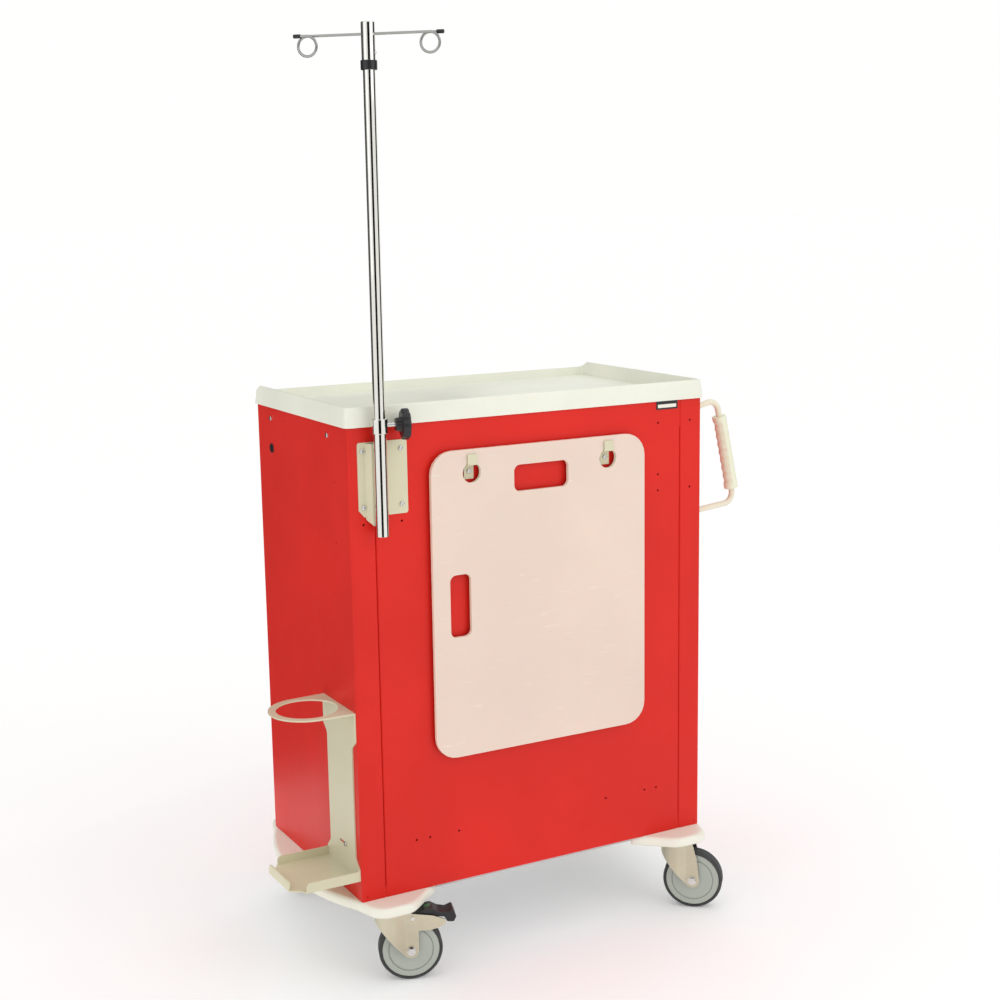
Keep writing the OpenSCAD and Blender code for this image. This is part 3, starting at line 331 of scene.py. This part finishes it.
def newTube(name, sides, radius, length):      # upright, its middle at the origin
    bpy.ops.object.select_all(action="DESELECT")
    bpy.ops.mesh.primitive_cylinder_add(vertices=sides, radius=radius, depth=length)
    piece = bpy.context.object
    piece.name = name
    return piece


def newBlock(name, size):
    bpy.ops.object.select_all(action="DESELECT")
    bpy.ops.mesh.primitive_cube_add(size=1, scale=size)
    piece = bpy.context.object
    piece.name = name
    bpy.ops.object.transform_apply(location=True, rotation=True, scale=True)
    return piece


def ringCut(piece, height):                    # one edge ring across the whole piece
    pick(piece, "FACE", lambda at, normal: True)
    bpy.ops.mesh.bisect(plane_co=(0, 0, height), plane_no=(0, 0, 1))


def placed(piece, at, turn):                   # turn is a matrix from the drawn axes to the cart's
    bpy.ops.object.mode_set(mode="OBJECT")
    selectOnly(piece)
    piece.matrix_world = Matrix.Translation(at) @ turn.to_4x4()
    bpy.ops.object.transform_apply(location=True, rotation=True, scale=True)


def middleOf(node):
    low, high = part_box(node)
    return (Vector(low) + Vector(high)) / 2


def jointOf(body):
    return next(joint for joint in behaviour["joints"] if joint["child"] == body)


# Hand grip with a round back and finger grooves towards the cabinet
gripLook = {"length": 0.160, "radius": 0.0153, "lean": 12.1, "grooves": 8, "depth": 0.0052, "end": 0.010,
            "colour": (0.80, 0.80, 0.62, 1)}


def handGrip():
    look = gripLook
    piece = newTube("gripSleeve", 24, look["radius"], look["length"])
    half = look["length"] / 2
    pitch = (look["length"] - 2 * look["end"]) / look["grooves"]
    heights = [look["end"] - half + pitch * i / 2 for i in range(2 * look["grooves"] + 1)]
    for height in heights + [0.003 - half, half - 0.003]:
        ringCut(piece, height)
    for height in heights[1::2]:
        pick(piece, "VERT", lambda at: abs(at.z - height) < 1e-4 and at.x > look["radius"] * 0.45)
        bpy.ops.transform.translate(value=(-look["depth"], 0, 0))
    pick(piece, "VERT", lambda at: at.x < -look["radius"] * 0.6 and abs(at.z) < half - 0.001)
    bpy.ops.transform.resize(value=(0.94, 1.04, 1), center_override=(0, 0, 0))
    for side in (-1, 1):
        pick(piece, "FACE", lambda at, normal: normal.z * side > 0.9)
        bpy.ops.mesh.inset(thickness=0.0022)
        bpy.ops.transform.translate(value=(0, 0, side * 0.0006))
        bpy.ops.mesh.inset(thickness=0.0055)
        bpy.ops.transform.translate(value=(0, 0, -side * 0.0014))
    bpy.ops.object.mode_set(mode="OBJECT")
    applied(piece, "SUBSURF", levels=2, render_levels=2)
    bpy.ops.object.shade_smooth()
    lean = math.radians(look["lean"])
    down = Vector((-math.sin(lean), 0, -math.cos(lean)))
    inward = Vector((math.cos(lean), 0, -math.sin(lean)))
    turn = Matrix((inward, Vector((0, -1, 0)), down)).transposed()
    if turn.determinant() < 0:
        turn = Matrix((inward, Vector((0, 1, 0)), down)).transposed()
    placed(piece, middleOf("handle_grip"), turn)
    sleeve = mouldedPlastic("gripPlastic", look["colour"], 0.44, glow=0.05)
    dressed(piece, "cabinet", "cream_plastic", "handle_grip", finish=sleeve)


# Lobed clamp knob with a domed face and a tapered hub
knobLook = {"radius": 0.0294, "thick": 0.011, "lobes": 8, "notch": 0.90, "hubReach": 0.010, "turn": 14,
            "out": 0.0217}


def clampKnob():
    look = knobLook
    piece = newTube("knobHead", look["lobes"] * 6, look["radius"], look["thick"])
    for below, size in ((0.0, math.sqrt(look["notch"])), (-0.9, math.sqrt(look["notch"]))):
        pick(piece, "VERT", lambda at: math.cos(look["lobes"] * math.atan2(at.y, at.x)) < below)
        bpy.ops.transform.resize(value=(size, size, 1), center_override=(0, 0, 0))
    for side in (1, -1):
        pick(piece, "FACE", lambda at, normal: normal.z * side > 0.9)
        for size, rise in ((0.97, 0.0012), (0.88, 0.0012), (0.62, 0.0006), (0.90, -0.0012)):
            bpy.ops.mesh.extrude_region_move()
            bpy.ops.transform.resize(value=(size, size, 1), center_override=(0, 0, 0))
            bpy.ops.transform.translate(value=(0, 0, side * rise))
        if side < 0:                           # the hub that the stud is moulded into
            for size, rise in ((0.96, 0.0005), (0.90, look["hubReach"]), (0.97, 0.0005), (0.80, 0.0004)):
                bpy.ops.mesh.extrude_region_move()
                bpy.ops.transform.resize(value=(size, size, 1), center_override=(0, 0, 0))
                bpy.ops.transform.translate(value=(0, 0, -rise))
    bpy.ops.object.mode_set(mode="OBJECT")
    applied(piece, "SUBSURF", levels=2, render_levels=2)
    bpy.ops.object.shade_smooth()
    turn = math.radians(look["turn"])
    outward = Vector((-math.cos(turn), math.sin(turn), 0))
    side = Vector((0, 0, 1)).cross(outward)
    axes = Matrix((side, outward.cross(side), outward)).transposed()
    placed(piece, middleOf("clamp_stud") + outward * look["out"], axes)
    dressed(piece, "clamp", "black_plastic", "clamp_knob")


# Card in the label holder
cardLook = {"size": (0.045, 0.0005, 0.007), "rim": 0.0004, "sink": 0.00035, "height": 0.007,
            "colour": (0.86, 0.83, 0.72, 1)}


def labelCard():
    look = cardLook
    low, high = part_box("label_plate")
    piece = newBlock("labelCard", look["size"])
    pick(piece, "FACE", lambda at, normal: normal.y > 0.9)
    bpy.ops.mesh.inset(thickness=look["rim"])
    at = ((low[0] + high[0]) / 2, high[1] - look["sink"], low[2] + look["height"])
    placed(piece, at, Matrix.Identity(3))
    paper = Finish("cardPaper", Roughness=0.6)
    paper.set("Base Color", paper.mix(paper.noise(220, 3.0), look["colour"], shade(look["colour"], 0.94)))
    paper.bump(paper.noise(900, 2.0), 0.06, 0.0002)
    dressed(piece, "cabinet", "cream_paint", finish=paper.material)


# Green mark let into the top of the brake pedal
markLook = {"size": (0.013, 0.011, 0.0016), "along": 0.0705, "height": 0.1466, "rise": 6.5,
            "rounding": 0.0005, "colour": (0.03, 0.16, 0.05, 1)}


def pedalMark():
    look = markLook
    piece = newBlock("pedalMark", look["size"])
    bpy.ops.object.mode_set(mode="EDIT")
    bpy.ops.mesh.select_all(action="SELECT")
    bpy.ops.mesh.bevel(offset=look["rounding"], segments=3)
    hinge = Vector(jointOf("brake")["axis"])
    middle = jointOf("swivel_1")["pos_m"]
    upward = Vector((0, 0, 1))
    ahead = hinge.cross(upward)
    level = Matrix((ahead, hinge, upward)).transposed()
    turn = Matrix.Rotation(-math.radians(look["rise"]), 3, hinge) @ level
    placed(piece, Vector((middle[0], middle[1], look["height"])) + ahead * look["along"], turn)
    bpy.ops.object.shade_smooth_by_angle(angle=math.radians(35))
    glaze = Finish("greenMark", Roughness=0.3)
    glaze.set("Base Color", glaze.mix(glaze.noise(160, 3.0), look["colour"], shade(look["colour"], 0.7)))
    glaze.bump(glaze.noise(700, 2.0), 0.05, 0.0002)
    dressed(piece, "brake", "black_plastic", finish=glaze.material)


handGrip()
clampKnob()
labelCard()
pedalMark()
print("grip, knob, card and pedal mark made")


studio = {"floorSize": 160, "floorColour": (0.90, 0.90, 0.90, 1), "floorGlow": 0.125, "sky": 0.97,
          "skySeen": 1.0, "cardMiddle": 1.5, "cardHeight": 2.98}
cards = {                                      # azimuth from the pole, distance, width and brightness
    "behindCamera": (71, 3.4, 2.3, 0.01),
    "right": (171, 3.2, 2.2, 0.02),
    "leftRear": (-72, 1.2, 3.0, 0.09),
}
lamps = {                                      # where it stands, what it faces, its size and power
    "keyLight": ((-1.6, 3.6, 3.0), (0, 0, 0.7), (2.4, 2.4), 22),
    "fillLight": ((4.2, 1.0, 2.4), (0, 0, 0.8), (2.0, 2.6), 8),
}

bpy.ops.object.select_all(action="DESELECT")
bpy.ops.mesh.primitive_plane_add(size=studio["floorSize"], location=(0, 0, -0.0005))
floor = bpy.context.object
floor.name = "studioFloor"
ground = Finish("floorPaper", Roughness=0.85, Emission_Color=(1, 1, 1, 1),
                Emission_Strength=studio["floorGlow"])
pale = studio["floorColour"]
ground.set("Base Color", ground.mix(ground.noise(1.5, 2.0), pale, shade(pale, 0.99)))
floor.data.materials.append(ground.material)

# Dark cards that only reflections see
for name, (azimuth, distance, width, grey) in cards.items():
    way = Vector((math.cos(math.radians(azimuth)), math.sin(math.radians(azimuth)), 0))
    pole = middleOf("iv_pole")
    at = Vector((pole.x, pole.y, studio["cardMiddle"])) + way * distance
    turn = (math.pi / 2, 0, math.radians(azimuth + 90))
    bpy.ops.object.select_all(action="DESELECT")
    bpy.ops.mesh.primitive_plane_add(size=1, location=at, rotation=turn)
    card = bpy.context.object
    card.name = name
    card.scale = (width, studio["cardHeight"], 1)
    cloth = Finish(name + "Cloth", Roughness=0.9, Specular_IOR_Level=0.0)
    dark = (grey, grey, grey, 1)
    cloth.set("Base Color", cloth.mix(cloth.noise(2.0, 2.0), dark, shade(dark, 0.9)))
    card.data.materials.append(cloth.material)
    card.visible_camera = False
    card.visible_diffuse = False
    card.visible_shadow = False

world = bpy.data.worlds.new("studioSky")
bpy.context.scene.world = world
world.use_nodes = True
sky = world.node_tree
background = sky.nodes["Background"]
background.inputs["Color"].default_value = (1.0, 1.0, 0.995, 1)
seen = sky.nodes.new("ShaderNodeLightPath")
strength = sky.nodes.new("ShaderNodeMapRange")     # bright to the camera, softer as light
strength.inputs["To Min"].default_value = studio["sky"]
strength.inputs["To Max"].default_value = studio["skySeen"]
sky.links.new(seen.outputs["Is Camera Ray"], strength.inputs["Value"])
sky.links.new(strength.outputs["Result"], background.inputs["Strength"])


def softbox(name, at, aim, size, power):
    data = bpy.data.lights.new(name, "AREA")
    data.shape = "RECTANGLE"
    data.size, data.size_y = size
    data.energy = power
    lamp = bpy.data.objects.new(name, data)
    lamp.location = at
    lamp.rotation_euler = (Vector(aim) - Vector(at)).to_track_quat("-Z", "Y").to_euler()
    bpy.context.scene.collection.objects.link(lamp)


for name, (at, aim, size, power) in lamps.items():
    softbox(name, at, aim, size, power)

lens = {"at": (1.58374, 2.97075, 1.52407), "forward": (-0.47181, -0.86257, -0.18268),
        "right": (-0.87583, 0.48236, -0.01554), "length": 58.99}
camera = bpy.data.cameras.new("camera")
camera.lens = lens["length"]
camera.sensor_width = 36
viewer = bpy.data.objects.new("camera", camera)
bpy.context.scene.collection.objects.link(viewer)
right = Vector(lens["right"]).normalized()
back = -Vector(lens["forward"]).normalized()
up = back.cross(right).normalized()
viewer.matrix_world = Matrix.Translation(lens["at"]) @ Matrix((right, up, back)).transposed().to_4x4()
bpy.context.scene.camera = viewer
bpy.context.scene.view_settings.view_transform = "Standard"
print("studio ready")
